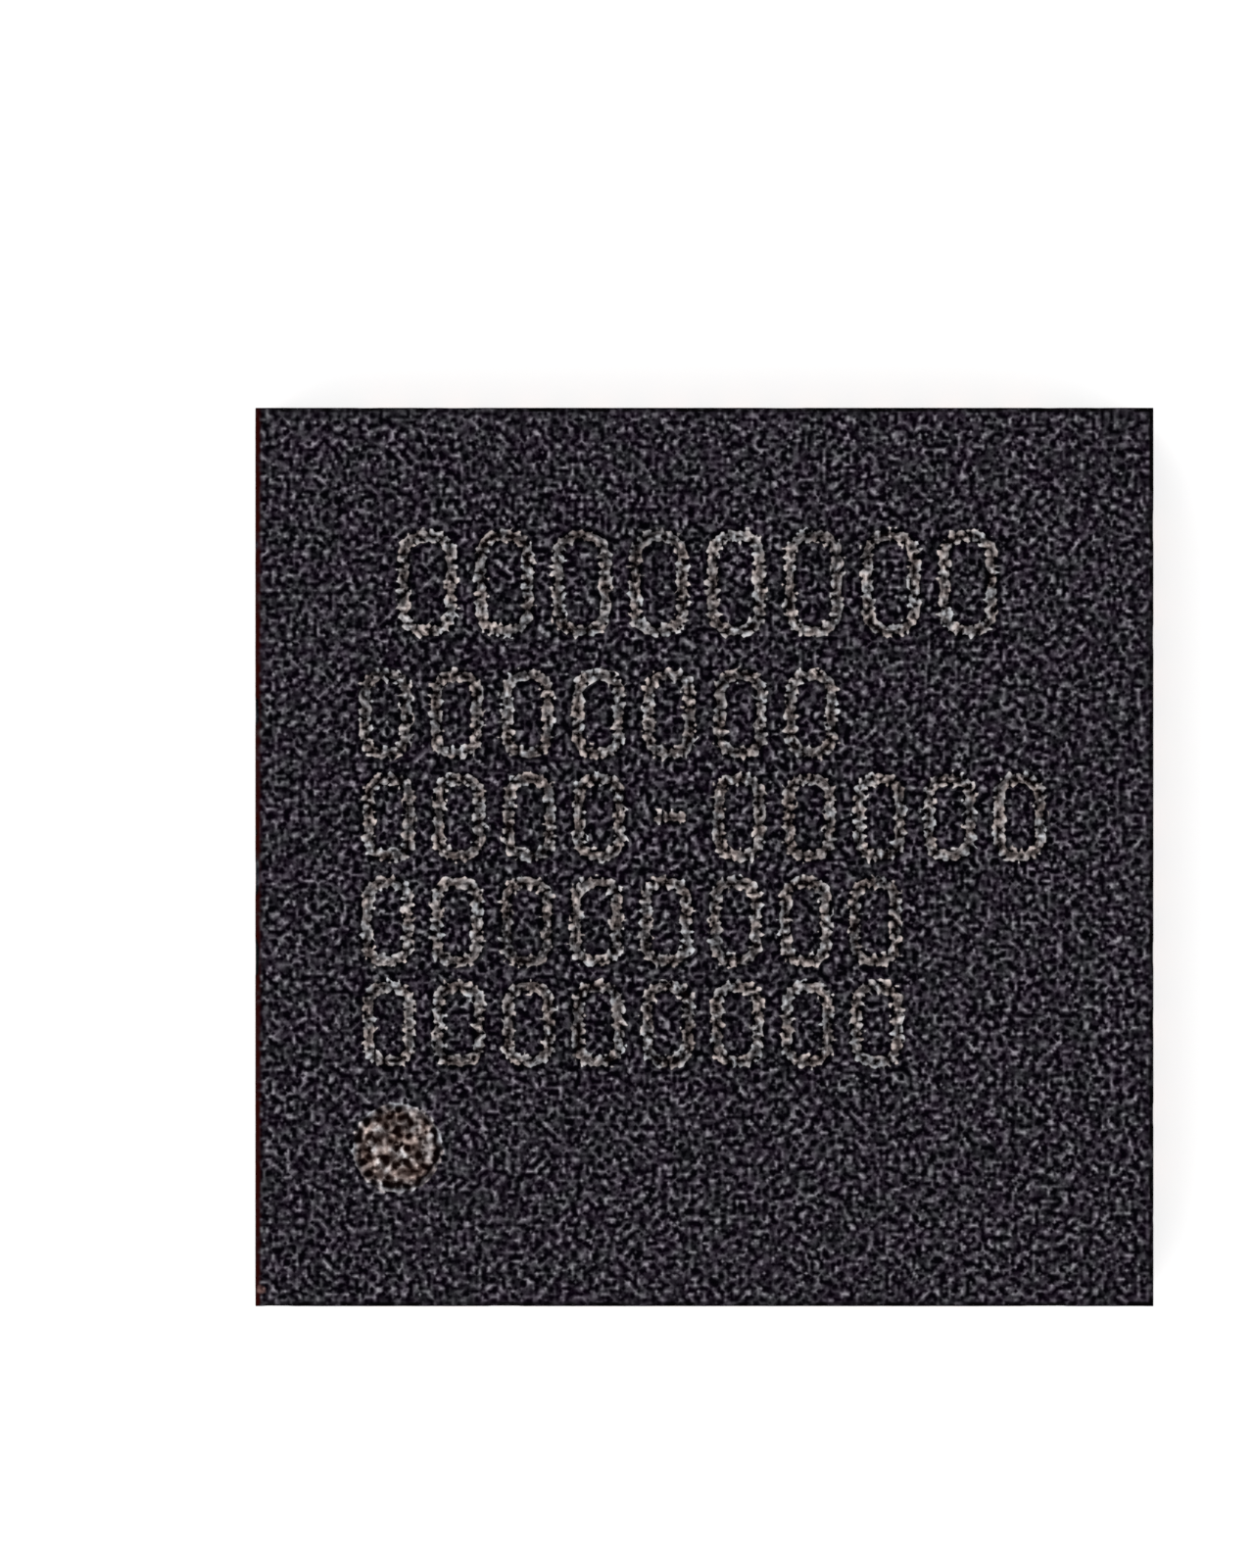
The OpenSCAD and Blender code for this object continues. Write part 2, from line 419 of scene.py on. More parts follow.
# The laser's strokes: two pale ridges, pits between them, and a sooty border
def scorchStrokes(tree, look, colour, grain, fine, place, tint):
    away = attributeNode(tree, "strokeAway")
    ragged = raggedWay(tree, look, away, grain, fine, look["strokeLumps"])
    edge = look["halfStroke"]
    soot = fade(tree, ragged, edge, edge + look["sootWidth"], look["soot"], 1.0)
    sooty = addNode(tree, "ShaderNodeCombineColor", None, {"Red": soot, "Green": soot, "Blue": soot})
    colour = multiplyColours(tree, colour, sooty.outputs[0])
    foot, crest = [edge * share for share in look["ridgeRise"]]
    ridge = fade(tree, ragged, foot, crest, look["pitLevel"], look["ridgeLevel"])
    # The grain's height paints shade in the strokes' pits and sheen on their lumps too
    level = add(tree, multiply(tree, grain, look["strokeGrain"]), ridge)
    patch = grainNode(tree, place, look["strokePatch"], detail=1.0)
    level = add(tree, level, swing(tree, patch, evenly, look["strokeUneven"]))
    marked = toneBand(tree, level, look["markTones"], look["markCast"])
    marked = multiplyColours(tree, marked, tint)
    inside = fade(tree, ragged, edge - look["strokeSoft"], edge, 1.0, 0.0)
    shown = multiply(tree, inside, attributeNode(tree, "burnt"))
    return blendColours(tree, shown, colour, marked)


# The pin 1 dot: pits in a pale net of veins, with a darker ring and a thin greyish rim round them
def scorchDot(tree, look, colour, grain, fine, place, tint):
    ragged = raggedWay(tree, look, attributeNode(tree, "dotAway"), grain, fine, look["dotLumps"])
    bend = grainNode(tree, place, look["dotPit"] * look["bendSize"])
    bend = swing(tree, bend, softly, look["bendMost"])
    pits = add(tree, speckNode(tree, place, look["dotPit"]), bend)
    veins = fade(tree, pits, *look["veinRise"], look["dotLevel"], look["dotLevel"] + look["dotVeins"])
    paler = bandAlong(tree, ragged, look["rimAt"], look["rimWidth"], look["rimPaler"])
    darker = bandAlong(tree, ragged, look["ringAt"], look["ringWidth"], -look["ringDarker"])
    # The grain's height paints shade in its pits and sheen on its lumps within the dot too
    level = add(tree, veins, multiply(tree, grain, look["dotGrain"]))
    level = add(tree, add(tree, level, paler), darker)
    dotted = toneBand(tree, level, look["dotTones"], look["dotCast"])
    rim = toneBand(tree, level, look["dotTones"], look["rimCast"])
    dotted = blendColours(tree, fade(tree, ragged, look["rimStart"], 0.0), dotted, rim)
    dotted = multiplyColours(tree, dotted, tint)
    inside = fade(tree, ragged, look["rimAt"], look["rimAt"] + look["rimWidth"], 1.0, 0.0)
    return blendColours(tree, inside, colour, dotted)


# Painted shade round the top: a dark line broken by patches, and a fainter band of shade inside it
def paintEdgeShade(tree, look, colour, inward, patch):
    width = look["edgeLine"]
    line = fade(tree, inward, width * look["lineFull"], width, 1.0, 0.0)
    line = multiply(tree, line, fade(tree, patch, *look["lineBreaks"], look["lineLeast"], 1.0))
    near, far = [width * share for share in look["innerShadeReach"]]
    dusk = fade(tree, inward, near, far, look["innerShadeDepth"], 0.0)
    return blendColours(tree, combine(tree, "MAXIMUM", line, dusk), colour, paint(*look["edgeShadeColour"]))


# Painted light: a dark red colour fringe along the left edge of the level top
def paintLeftFringe(tree, look, colour, place, patch):
    start, full = [look["edgeLine"] * share - halfBody for share in look["fringeReach"]]
    left = fade(tree, partsOf(tree, place)["X"], start, full)
    left = combine(tree, "POWER", left, look["fringeFall"])
    fringed = multiply(tree, left, fade(tree, patch, *look["fringeBreaks"], look["fringeLeast"], 1.0))
    facing = addNode(tree, "ShaderNodeNewGeometry").outputs["Normal"]
    level = fade(tree, partsOf(tree, facing)["Z"], *look["fringeLevel"])
    return blendColours(tree, multiply(tree, fringed, level), colour, paint(*look["leftFringeColour"]))


# A pale pinkish spot at the lower left corner, on the grain's lumps
def paleCornerSpot(tree, look, colour, grain, place, patch):
    spot = (*[c * mm for c in look["cornerSpot"]], topZ)
    away = addNode(tree, "ShaderNodeVectorMath", {"operation": "DISTANCE"}, {0: place, 1: spot})
    bent = add(tree, away.outputs["Value"], swing(tree, patch, evenly, look["spotBend"]))
    size = look["spotSize"]
    worn = fade(tree, bent, size * look["spotFull"], size, look["spotMost"], 0.0)
    worn = multiply(tree, worn, fade(tree, grain, *look["spotLumps"], look["spotLeast"], 1.0))
    return blendColours(tree, worn, colour, paint(*look["spotColour"]))


def erodedCompound(look):
    material, tree, shader = newMaterial("erodedCompound", specular=look["specular"])
    place = objectPlace(tree)
    inward = wayIn(tree, place)
    fine = grainNode(tree, place, look["fineGrain"], detail=1.0)
    grain = add(tree, attributeNode(tree, "grain"), swing(tree, fine, softly, look["fineLift"]))
    calmer = fade(tree, inward, look["edgeLine"], look["calmWidth"], 1 - look["edgeCalm"], 1.0)
    grain = spreadGrain(tree, grain, look["calmPivot"], calmer)
    away = attributeNode(tree, "strokeAway")
    deeper = fade(tree, away, *look["sootHalo"], 1 + look["haloDepth"], 1.0)
    grain = spreadGrain(tree, grain, look["haloPivot"], deeper)
    # The tones follow the grain's height: painted shade in its pits, painted sheen on its lumps
    mauve, grey = [toneBand(tree, grain, look["tones"], cast) for cast in look["casts"]]
    wide = grainNode(tree, place, look["castPatch"], detail=2.0)
    colour = blendColours(tree, fade(tree, wide, *firmly), mauve, grey)
    warmth = grainNode(tree, place, look["tintPatch"], detail=1.0)
    tint = twoColours(tree, warmth, firmly, look["tints"])
    colour = scorchStrokes(tree, look, colour, grain, fine, place, tint)
    colour = scorchDot(tree, look, colour, grain, fine, place, tint)
    patch = grainNode(tree, place, look["rimPatch"], detail=2.0)
    colour = paintEdgeShade(tree, look, colour, inward, patch)
    colour = paintLeftFringe(tree, look, colour, place, patch)
    colour = paleCornerSpot(tree, look, colour, grain, place, patch)
    roughness = fade(tree, grain, *look["roughAt"], *look["roughness"])
    dress(tree, shader, colour, roughness, bumpNode(tree, fine, look["bump"]))
    return material


sawnLook = {
    "colour": (34, 32, 36),
    "filler": (120, 118, 118),
    "fillerSpacing": 0.03 * mm,
    "fillerEdge": (0.12, 0.24),
    "fillerShown": 0.5,
    "lineSize": 0.009 * mm,
    "lineStretch": (0.04, 0.04, 1.0),
    "lineShades": ((0.7, 0.7, 0.7, 1), (1.15, 1.15, 1.15, 1)),
    "specular": 0.2,
    "roughness": (0.7, 0.5),
    "bump": 1.5 * micron,
}


# The saw's lines run along each side, and it has cut through grains of filler
def sawnCompound(look):
    material, tree, shader = newMaterial("sawnCompound", specular=look["specular"])
    lines = grainNode(tree, objectPlace(tree, look["lineStretch"]), look["lineSize"], detail=2.0)
    grains = speckNode(tree, objectPlace(tree), look["fillerSpacing"])
    filler = fade(tree, grains, *look["fillerEdge"], look["fillerShown"], 0.0)
    colour = blendColours(tree, filler, paint(*look["colour"]), paint(*look["filler"]))
    colour = multiplyColours(tree, colour, twoColours(tree, lines, evenly, look["lineShades"]))
    roughness = fade(tree, lines, *evenly, *look["roughness"])
    dress(tree, shader, colour, roughness, bumpNode(tree, lines, look["bump"]))
    return material


undersideLook = {
    "colour": (16, 12, 18),
    "shades": (0.75, 1.3),
    "cloud": 0.25 * mm,
    "specular": 0.15,
    "roughness": (0.5, 0.38),
    "grain": 0.02 * mm,
    "bump": 0.8 * micron,
}


def smoothCompound(look):
    material, tree, shader = newMaterial("smoothCompound", specular=look["specular"])
    place = objectPlace(tree)
    cloud = grainNode(tree, place, look["cloud"], detail=3.0)
    shades = [paint(*[c * shade for c in look["colour"]]) for shade in look["shades"]]
    colour = twoColours(tree, cloud, evenly, shades)
    roughness = fade(tree, cloud, *evenly, *look["roughness"])
    grain = grainNode(tree, place, look["grain"])
    dress(tree, shader, colour, roughness, bumpNode(tree, grain, look["bump"]))
    return material


# The moulding's shape, in mm

# The marks are rows of plain noughts, and one dash
markRows = {
    "rows": ("00000000", "0000000", "0000-00000", "00000000", "00000000"),
    "firstX": (-1.71, -1.925, -1.905, -1.915, -1.905),  # left end of each row
    "middleY": (1.524, 0.796, 0.221, -0.36, -0.93),
    "height": (0.60, 0.507, 0.50, 0.51, 0.49),
    "width": (0.335, 0.30, 0.30, 0.30, 0.30),
    "pitch": (0.43, 0.395, 0.39, 0.388, 0.388),
    "stroke": 0.074,
    "depth": 0.008,
    "lumps": 0.003,  # how much the grain's lumps lift or deepen the strokes
    "roundness": 0.42,  # corner radius of a nought's centreline, as a share of its width
    "dash": 0.4,  # its length, as a share of a nought's width
    "burnt": 0.95,  # how strongly the strokes' colour shows as a rule
    "burntUneven": 0.3,
    "burntLeast": 0.6,
    "burntPatch": 0.16,
    "burntSeed": 2,
}

pinDot = {"x": -1.71, "y": -1.62, "radius": 0.24, "depth": 0.015, "lumps": 0.004}

topFace = {
    "cells": 300,
    "seed": 1,
    "lumpSize": 0.055,
    "lumpSpread": 0.62,
    "lumpHeight": 0.0018,
    "sink": 2,  # lump heights from the solid's top down to the face's mean
    "toneEnds": (-1.4, 2.1),  # lump heights of the darkest pits and of the palest lumps, whose tones paint shade and sheen
    "wayKept": 0.2,  # up to which the mesh's points keep their ways to the marks
    "edgeWidth": 1.6,  # in cells
    "edgeDrop": 0.007,
    "edgeUneven": 0.5,
    "edgePatch": 0.12,
    "edgeSeed": 4,
    "chipDrop": 0.022,
    "chipPatch": 0.2,
    "chipLevel": 0.55,  # the higher, the fewer chips
    "chipSteepness": 3,
    "chipSeed": 5,
    "sharpAngle": 60,
}

# Rows of points in each sawn side: how far below the top, and how far apart
sawnRows = ((0.045, 0.04), (0.09, 0.08), (0.18, 0.16), (0.34, 0.25), (0.5, 0.25))
sawnMargin = 0.02  # how far these points stay from the side's outline

# What the mesh's points keep about the top face besides their heights
topLayers = ("grain", "strokeAway", "burnt", "dotAway")

erodedSlot, sawnSlot, smoothSlot = range(3)  # of the moulding's materials


# Distance from a nought's centreline
def noughtDistance(x, y, width, height):
    radius = width * markRows["roundness"]
    outX = np.abs(x) - (width / 2 - radius)
    outY = np.abs(y) - (height / 2 - radius)
    outside = np.hypot(np.maximum(outX, 0), np.maximum(outY, 0))
    return np.abs(outside + np.minimum(np.maximum(outX, outY), 0) - radius)


def dashDistance(x, y, length):
    return np.hypot(np.maximum(np.abs(x) - length / 2, 0), y)


def markDistance(x, y):
    nearest = np.full(x.shape, np.inf)
    stroke = markRows["stroke"]
    for row, signs in enumerate(markRows["rows"]):
        width = markRows["width"][row]
        for place, sign in enumerate(signs):
            dx = x - (markRows["firstX"][row] + width / 2 + place * markRows["pitch"][row])
            dy = y - markRows["middleY"][row]
            if sign == "0":
                found = noughtDistance(dx, dy, width - stroke, markRows["height"][row] - stroke)
            else:
                found = dashDistance(dx, dy, width * markRows["dash"])
            nearest = np.minimum(nearest, found)
    return nearest


# How far the top's edges are worn down and chipped
def edgeLoss(x, y, cell):
    fromEdge = halfBody / mm - np.maximum(np.abs(x), np.abs(y))
    edge = np.clip(1 - fromEdge / (cell * topFace["edgeWidth"]), 0, 1)
    worn = unevenness(x, y, topFace["edgePatch"], topFace["edgeSeed"])
    chips = unevenness(x, y, topFace["chipPatch"], topFace["chipSeed"]) - topFace["chipLevel"]
    chips = smoothStep(chips * topFace["chipSteepness"])
    return edge * (topFace["edgeDrop"] * (1 + topFace["edgeUneven"] * worn) + topFace["chipDrop"] * chips)


# The top face on a square grid of places in mm: its heights, grain and ways to the marks
def topRelief(x, y):
    cell = 2 * (halfBody / mm) / topFace["cells"]
    lump, far = topFace["lumpHeight"], topFace["wayKept"]
    grain = lumpyGrain(len(x), cell, topFace["lumpSize"], topFace["lumpSpread"], topFace["seed"])
    away = markDistance(x, y)
    fromDot = np.hypot(x - pinDot["x"], y - pinDot["y"]) - pinDot["radius"]
    marks = insideStep(away - markRows["stroke"] / 2, cell)
    dot = insideStep(fromDot, cell)
    height = grain * lump - lump * topFace["sink"]
    height -= marks * (markRows["depth"] - grain * markRows["lumps"])
    height -= dot * (pinDot["depth"] - grain * pinDot["lumps"])
    height -= edgeLoss(x, y, cell)
    burnt = markRows["burntUneven"] * unevenness(x, y, markRows["burntPatch"], markRows["burntSeed"])
    pits, lumps = topFace["toneEnds"]
    return {
        "height": topZ + np.minimum(height, 0) * mm,
        # Its height sets its tone: painted shade in the pits, painted sheen on the lumps
        "grain": np.clip((grain - pits) / (lumps - pits), 0, 1),
        "strokeAway": np.minimum(away, far),
        "burnt": np.clip(markRows["burnt"] + burnt, markRows["burntLeast"], 1),
        "dotAway": np.clip(fromDot, -far, far),
    }


# Takes away the solid's plain top with the dot's recess, and cuts the rim where the grid meets it
def openTop(work, count):
    recessFloor = topZ - pinDot["depth"] * mm - micron
    oldTop = [f for f in work.faces if min(v.co.z for v in f.verts) > recessFloor]
    bmesh.ops.delete(work, geom=oldTop, context="FACES")
    rim = [e for e in work.edges if e.is_boundary]
    if len(rim) != 4:
        raise RuntimeError(f"the top face has {len(rim)} edges")
    bmesh.ops.subdivide_edges(work, edges=rim, cuts=count - 1)


# The grid's points. Along the edges they are the rim's own
def topGrid(work, count):
    layers = {name: work.verts.layers.float[name] for name in topLayers}
    cell = 2 * halfBody / count
    known = {}
    for vert in work.verts:
        if vert.co.z > topZ - micron:
            known[round((vert.co.x + halfBody) / cell), round((vert.co.y + halfBody) / cell)] = vert
    steps = np.linspace(-halfBody, halfBody, count + 1)
    x, y = np.meshgrid(steps, steps, indexing="ij")
    relief = topRelief(x / mm, y / mm)
    grid = {}
    for i, k in np.ndindex(x.shape):
        vert = known.get((i, k)) or work.verts.new((steps[i], steps[k], topZ))
        vert.co.z = relief["height"][i, k]
        for name, layer in layers.items():
            vert[layer] = relief[name][i, k]
        grid[i, k] = vert
    return grid


def coverTop(work, grid, count):
    for i, k in np.ndindex(count, count):
        corners = (grid[i, k], grid[i + 1, k], grid[i + 1, k + 1], grid[i, k + 1])
        turned = (i + k) % 2  # so that the quads split along both diagonals in turn
        face = work.faces.new(corners[turned:] + corners[:turned])
        face.smooth = True
        face.material_index = erodedSlot


def sawnPoints(line):
    half = halfBody / mm
    points = []
    for depth, spacing in sawnRows:
        steps = np.arange(-half + spacing, half - spacing / 2, spacing)
        points += [(step, topZ / mm - depth) for step in steps]
    points = np.array(points)
    return points[insideLine(points, line, sawnMargin)[0]]


# Fills a sawn side again, because the worn top edge gives it hundreds of corners
def fillSide(work, across, sign):
    along = 1 - across
    wall = [f for f in work.faces if min(sign * v.co[across] for v in f.verts) > halfBody - micron]
    flat = set(wall)
    outline = [e for f in wall for e in f.edges if sum(g in flat for g in e.link_faces) == 1]
    ring = orderedLoop(list(dict.fromkeys(outline)), along, 2)
    bmesh.ops.delete(work, geom=wall, context="FACES")
    line = np.array([(v.co[along], v.co.z) for v in ring]) / mm
    points = sawnPoints(line)
    inner = []
    for step, height in points:
        place = [0, 0, height * mm]
        place[across] = sign * halfBody
        place[along] = step * mm
        inner.append(work.verts.new(place))
    for face in fillLine(work, ring, line, inner, points):
        face.smooth = False
        face.material_index = sawnSlot


def mouldedBody():
    work = copyOfNode("moulding")
    for name in topLayers:
        work.verts.layers.float.new(name)
    count = topFace["cells"]
    openTop(work, count)
    grid = topGrid(work, count)
    for face in work.faces:
        face.smooth = False
        face.material_index = smoothSlot
    coverTop(work, grid, count)
    for across in (0, 1):
        for sign in (-1, 1):
            fillSide(work, across, sign)
    materials = (erodedCompound(compoundLook), sawnCompound(sawnLook), smoothCompound(undersideLook))
    sharp = topFace["sharpAngle"]
    piece = makePiece(work, "moulded_body", "moulding", materials, sharp)
    print("moulded body made with", countTriangles(piece), "triangles")


# Finishes of the tin and the copper

tinLook = {
    "grain": 0.014 * mm,
    "grainShare": 0.3,
    "patchShare": 0.7,
    "rolledFull": 0.4,  # the smooth rim, paler partly as a painted highlight, is full up to this share of its width
    "rolledMost": 0.9,
    "roughness": (0.55, 0.38),
    "bump": 2.0 * micron,
}

# Tin tones run from the darkest patches to the brightest. The steps are the patches' values there
terminalTin = {
    "tones": ((158, 157, 160), (214, 213, 213), (240, 239, 238), (251, 250, 249)),
    "steps": (0.36, 0.45, 0.53, 0.62),
    "patch": 0.05 * mm,
    "rimAndSheen": (244, 243, 242),  # the smooth rim, painted paler partly as the highlight on its rolled edge
    "rimWidth": 0.034,  # in mm, as the points of the mesh keep it
    "sawEdge": 0.012 * mm,
    "sawFull": 0.5,  # it is full up to this share of its width
    "sawMost": 0.75,
    "sawDark": (122, 114, 112),
    "streakAt": 0.17 * mm,  # from the side: where the bands lie
    "streakWidth": 0.06 * mm,
    "streakFull": 0.35,  # each way from its middle
    "streakReach": (0.6, 1.2),  # rim widths from the terminal's edge to where the bands begin, and are full
    "sideRows": 0.35,  # how strong they are in the left and right rows
    "rowBlend": 0.1 * mm,
    # Each band's colour, how many widths it lies nearer the side, its patches and its strength
    "streaks": (
        ((40, 32, 34), 0.0, (0.53, 0.42), 0.95),
        ((184, 108, 74), 0.75, (0.46, 0.6), 0.8),
    ),
}

padTin = {
    "tones": ((176, 173, 170), (220, 217, 214), (240, 238, 235), (250, 249, 247)),
    "steps": (0.34, 0.43, 0.5, 0.6),
    "patch": 0.045 * mm,
    # The smooth rim, painted paler partly as the highlight on its rolled edge
    "rimAndSheen": (246, 245, 244),
    "rimWidth": 0.02,
}


# Gives a shader the tin's roughness and bump. Returns its colour, and the place and patches under it
def tinFinish(tree, shader, look):
    place = objectPlace(tree)
    grain = grainNode(tree, place, tinLook["grain"], detail=2.0)
    patches = grainNode(tree, place, look["patch"], detail=3.0)
    coarse = multiply(tree, patches, tinLook["patchShare"])
    both = add(tree, coarse, multiply(tree, grain, tinLook["grainShare"]))
    stops = [(step, paint(*tone)) for step, tone in zip(look["steps"], look["tones"])]
    width = look["rimWidth"]
    away = attributeNode(tree, "edgeAway")
    # The smooth rim's colour: smoother tin, and a painted highlight on the rolled edge
    rimAndSheen = fade(tree, away, width * tinLook["rolledFull"], width, tinLook["rolledMost"], 0.0)
    colour = blendColours(tree, rimAndSheen, colourBand(tree, both, stops), paint(*look["rimAndSheen"]))
    roughness = fade(tree, grain, *firmly, *tinLook["roughness"])
    dress(tree, shader, roughness=roughness, normal=bumpNode(tree, grain, tinLook["bump"]))
    return colour, place, patches


def tinnedPad(look):
    material, tree, shader = newMaterial("tinnedPad", metallic=1.0)
    dress(tree, shader, tinFinish(tree, shader, look)[0])
    return material


# Tin with a dark and a copper-coloured band, which lie across each terminal at the same place
def tinnedTerminal(look):
    material, tree, shader = newMaterial("tinnedTerminal", metallic=1.0)
    colour, place, patches = tinFinish(tree, shader, look)
    fromSide = wayIn(tree, place)
    acrossX, acrossY = waysAcross(tree, place)
    blend = look["rowBlend"]
    rows = fade(tree, combine(tree, "SUBTRACT", acrossY, acrossX), -blend, blend, look["sideRows"], 1.0)
    start, full = [look["rimWidth"] * share for share in look["streakReach"]]
    streaked = multiply(tree, rows, fade(tree, attributeNode(tree, "edgeAway"), start, full))
    width = look["streakWidth"]
    for tone, nearer, patch, most in look["streaks"]:
        middle = look["streakAt"] - width * nearer
        band = bandAlong(tree, fromSide, middle, width, most, look["streakFull"])
        patchy = multiply(tree, band, fade(tree, patches, *patch))
        colour = blendColours(tree, multiply(tree, patchy, streaked), colour, paint(*tone))
    edge = look["sawEdge"]
    sawn = fade(tree, fromSide, edge * look["sawFull"], edge, look["sawMost"], 0.0)
    dress(tree, shader, blendColours(tree, sawn, colour, paint(*look["sawDark"])))
    return material


copperLook = {
    "dull": (112, 68, 50),
    "bright": (190, 124, 94),
    "steps": (0.38, 0.55),
    "share": 0.5,  # of the saw's lines, and of the patches
    "lineSize": 0.006 * mm,
    "lineStretch": (0.05, 0.05, 1.0),
    "patch": 0.06 * mm,
    "roughness": (0.5, 0.32),
    "bump": 1.0 * micron,
}


def sawnCopper(look):
    material, tree, shader = newMaterial("sawnCopper", metallic=1.0)
    lines = grainNode(tree, objectPlace(tree, look["lineStretch"]), look["lineSize"], detail=2.0)
    patches = grainNode(tree, objectPlace(tree), look["patch"], detail=2.0)
    both = add(tree, multiply(tree, patches, look["share"]), multiply(tree, lines, look["share"]))
    colour = twoColours(tree, both, look["steps"], (paint(*look["dull"]), paint(*look["bright"])))
    roughness = fade(tree, lines, *evenly, *look["roughness"])
    dress(tree, shader, colour, roughness, bumpNode(tree, lines, look["bump"]))
    return material


# The lead frame's shape, in mm

terminalShape = {
    "spacing": 0.009,  # between points along the outline
    "cell": 0.010,
    "cornerEase": 14,  # passes that turn the rim's direction gently round a sharp corner
    "bulge": 0.004,
    "wobble": 0.007,
    "burr": 0.024,  # where the saw has dragged the tin sideways
    "dish": 0.006,
    "crumple": 0.004,
    "firstSeed": 10,
    "seedStep": 7,  # from one lead to the next, because each uses six
}

padShape = {
    "spacing": 0.022,
    "cell": 0.024,
    "cornerEase": 4,
    "bulge": 0.002,
    "wobble": 0.006,
    "burr": 0.0,
    "dish": 0.004,
    "crumple": 0.0025,
    "seed": 5,
}

# What the pad and the terminals share
rimShape = {
    "wobblePatch": 0.05,
    "wobbleLeast": -0.4,
    "burrPatch": 0.13,
    "burrLevel": 0.35,  # the higher, the more of the sawn edge has a burr
    "burrReach": 0.05,  # from the saw cut
    # Each ring down the rim: its share of the swell, and its height as a share of the stand-off
    "rings": ((0.9, 0.72), (1.0, 0.42), (0.8, 0.16)),
    "footIn": 0.004,  # how much further in the last ring lies, where the dish begins
    "footSwell": 0.5,
    # The dish's section: how far in from its edge, and how high there as a share of the dish
    "dishDepth": (0.0, 0.008, 0.018, 0.03),
    "dishHeight": (0.1, 0.0, 0.35, 1.0),
    "dishMargin": 0.6,  # how far inside the section's end the grid stays, in cells
    "rowMargin": 0.96,  # the share of its depth by which each point of a row has to be inside
    "shakePatch": 0.7,
    "shake": 0.2,  # how far its points are moved, in cells
    "crumplePatches": ((0.06, 1.0), (0.025, 0.5)),  # how wide, and how strong
    "crumpleRise": 0.02,
    "flatAngle": 0.2,  # in degrees. Faces that meet flatter than this become one
    "sharpAngle": 50,
    "wayKept": 0.2,
}

tinSlot, copperSlot = range(2)  # of a metal piece's materials


def cutEdges(work, edges, spacing):
    byCuts = {}
    for edge in edges:
        cuts = max(0, math.ceil(edge.calc_length() / spacing - cutSlack) - 1)
        byCuts.setdefault(cuts, []).append(edge)
    for cuts, group in byCuts.items():
        if cuts:
            bmesh.ops.subdivide_edges(work, edges=group, cuts=cuts)


# Takes away the bare metal that stands out of the compound, and returns the open ring it leaves
def openUnderside(work, spacing):
    flat = math.radians(rimShape["flatAngle"])
    bmesh.ops.dissolve_limit(work, angle_limit=flat, verts=work.verts, edges=work.edges)
    everything = [*work.verts, *work.edges, *work.faces]
    plane = {"plane_co": (0, 0, undersideZ), "plane_no": (0, 0, 1)}
    bmesh.ops.bisect_plane(work, geom=everything, dist=weldDistance, clear_inner=True, **plane)
    cutEdges(work, [e for e in work.edges if e.is_boundary], spacing)
    return orderedLoop([e for e in work.edges if e.is_boundary])


def unitWays(ways):
    return ways / np.hypot(ways[:, 0], ways[:, 1])[:, None]


# Which way is out at each point of a line, turning gently round its corners
def outwardWays(line, passes):
    along = unitWays(np.roll(line, -1, axis=0) - np.roll(line, 1, axis=0))
    outward = np.stack([along[:, 1], -along[:, 0]], axis=1)
    for _ in range(passes):
        outward = unitWays(outward + np.roll(outward, 1, axis=0) + np.roll(outward, -1, axis=0))
    return outward


# How far the rim swells out at each point of a line, with a burr where the saw has cut
def rimSwell(line, shape, seed):
    x, y = line[:, 0], line[:, 1]
    wobble = np.clip(unevenness(x, y, rimShape["wobblePatch"], seed), rimShape["wobbleLeast"], 1)
    fromSaw = halfBody / mm - np.abs(line).max(axis=1)
    burr = unevenness(x, y, rimShape["burrPatch"], seed + 1) + rimShape["burrLevel"]
    burr = np.clip(burr, 0, 1) * np.clip(1 - fromSaw / rimShape["burrReach"], 0, 1)
    return shape["bulge"] + shape["wobble"] * wobble + shape["burr"] * burr


# Builds the rolled rim from the open ring down, and returns its faces with the last ring's points
def rollRim(work, ring, line, outward, shape, seed):
    half, standoff = halfBody / mm, undersideZ / mm
    swell = rimSwell(line, shape, seed)
    rings = [(0.0, share, standoff * height) for share, height in rimShape["rings"]]
    foot = shape["dish"] * rimShape["dishHeight"][0]
    rings.append((-rimShape["footIn"], rimShape["footSwell"], foot))
    faces = []
    for out, share, height in rings:
        places = np.clip(line + outward * (out + share * swell)[:, None], -half, half)
        lower = [work.verts.new((a * mm, b * mm, height * mm)) for a, b in places]
        for k in range(len(ring)):
            after = (k + 1) % len(ring)
            faces.append(work.faces.new((ring[k], ring[after], lower[after], lower[k])))
        ring = lower
    return faces, ring, places


# Points for the dish: a shaken grid, and rows along the rim where its section bends
def dishPoints(places, outward, cell, seed):
    low, high = places.min(axis=0), places.max(axis=0)
    x, y = np.meshgrid(*[np.arange(low[n], high[n], cell) for n in (0, 1)], indexing="ij")
    points = np.stack([x.ravel(), y.ravel()], axis=1)
    size = cell * rimShape["shakePatch"]
    shake = [unevenness(points[:, 0], points[:, 1], size, seed + n) for n in (2, 3)]
    points += rimShape["shake"] * cell * np.stack(shake, axis=1)
    margin = rimShape["dishDepth"][-1] + cell * rimShape["dishMargin"]
    points = points[insideLine(points, places, margin)[0]]
    for depth in rimShape["dishDepth"][1:]:
        row = places - outward * depth
        kept = insideLine(row, places, depth * rimShape["rowMargin"])[0]
        points = np.concatenate([points, row[kept]])
    return points


